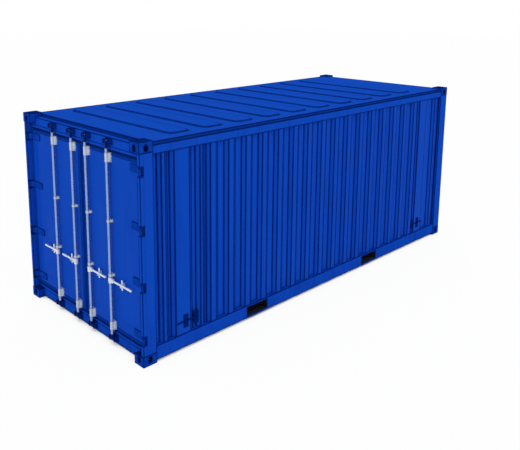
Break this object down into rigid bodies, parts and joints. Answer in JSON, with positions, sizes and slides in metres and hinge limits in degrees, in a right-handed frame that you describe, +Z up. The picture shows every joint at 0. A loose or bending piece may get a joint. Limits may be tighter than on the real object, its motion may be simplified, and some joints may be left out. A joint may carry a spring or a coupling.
{
  "type": "shipping container",
  "caption": "Steel shipping container with corrugated walls, corner castings, fork pockets and a pair of end doors that swing open behind upright lock bars.",
  "frame": {"origin": "bottom centre of the container, on the plane its bottom corner castings stand on", "axes": "+X to the right when facing the doors, +Y along the length from the door end to the closed front end, +Z up"},
  "size_m": [2.438, 6.058, 2.438],
  "materials": {
    "painted_steel": "satin paint",
    "painted_casting": "satin paint over cast steel",
    "underframe_paint": "dark base coating",
    "hinge_paint": "satin paint over forged steel",
    "galvanised_steel": "galvanised",
    "rubber_seal": "matt",
    "plywood_floor": "sealed plywood"
  },
  "bodies": {
    "container": {"casting_bottom_door_left": "painted_casting", "casting_bottom_door_right": "painted_casting", "casting_bottom_front_left": "painted_casting", "casting_bottom_front_right": "painted_casting", "casting_top_door_left": "painted_casting", "casting_top_door_right": "painted_casting", "casting_top_front_left": "painted_casting", "casting_top_front_right": "painted_casting", "post_door_left": "painted_steel", "post_front_left": "painted_steel", "rail_bottom_left": "painted_steel", "rail_top_left": "painted_steel", "side_wall_left": "painted_steel", "post_door_right": "painted_steel", "post_front_right": "painted_steel", "rail_bottom_right": "painted_steel", "rail_top_right": "painted_steel", "side_wall_right": "painted_steel", "door_sill": "painted_steel", "door_header": "painted_steel", "front_sill": "painted_steel", "front_header": "painted_steel", "front_wall": "painted_steel", "roof": "painted_steel", "hinge_lugs": "painted_steel", "keepers_header": "painted_steel", "keepers_sill": "painted_steel", "side_cleats": "painted_steel", "cross_members": "underframe_paint", "fork_pockets": "underframe_paint", "floor": "plywood_floor"},
    "left_door": {"door_left_frame": "painted_steel", "door_left_panel": "painted_steel", "door_left_gasket": "rubber_seal", "door_left_hinges": "hinge_paint", "door_left_bar_guides": "galvanised_steel", "door_left_catches": "galvanised_steel"},
    "right_door": {"door_right_frame": "painted_steel", "door_right_panel": "painted_steel", "door_right_gasket": "rubber_seal", "door_right_hinges": "hinge_paint", "door_right_bar_guides": "galvanised_steel", "door_right_catches": "galvanised_steel"},
    "bar_1": {"lock_bar_1": "galvanised_steel", "handle_1": "galvanised_steel"},
    "bar_2": {"lock_bar_2": "galvanised_steel", "handle_2": "galvanised_steel"},
    "bar_3": {"lock_bar_3": "galvanised_steel", "handle_3": "galvanised_steel"},
    "bar_4": {"lock_bar_4": "galvanised_steel", "handle_4": "galvanised_steel"}
  },
  "joints": [
    {"name": "left_door_hinge", "type": "hinge", "parent": "container", "child": "left_door", "pos_m": [-1.203, -3.013, 1.2], "axis": [0, 0, -1], "range_deg": [0, 267]},
    {"name": "right_door_hinge", "type": "hinge", "parent": "container", "child": "right_door", "pos_m": [1.203, -3.013, 1.2], "axis": [0, 0, 1], "range_deg": [0, 267]},
    {"name": "bar_1_turn", "type": "hinge", "parent": "left_door", "child": "bar_1", "pos_m": [-0.57695, -2.988, 1.2], "axis": [0, 0, -1], "range_deg": [-110, 0]},
    {"name": "bar_2_turn", "type": "hinge", "parent": "left_door", "child": "bar_2", "pos_m": [-0.15006, -2.988, 1.2], "axis": [0, 0, -1], "range_deg": [-110, 0]},
    {"name": "bar_3_turn", "type": "hinge", "parent": "right_door", "child": "bar_3", "pos_m": [0.15006, -2.988, 1.2], "axis": [0, 0, 1], "range_deg": [-110, 0]},
    {"name": "bar_4_turn", "type": "hinge", "parent": "right_door", "child": "bar_4", "pos_m": [0.57695, -2.988, 1.2], "axis": [0, 0, 1], "range_deg": [-110, 0]}
  ]
}
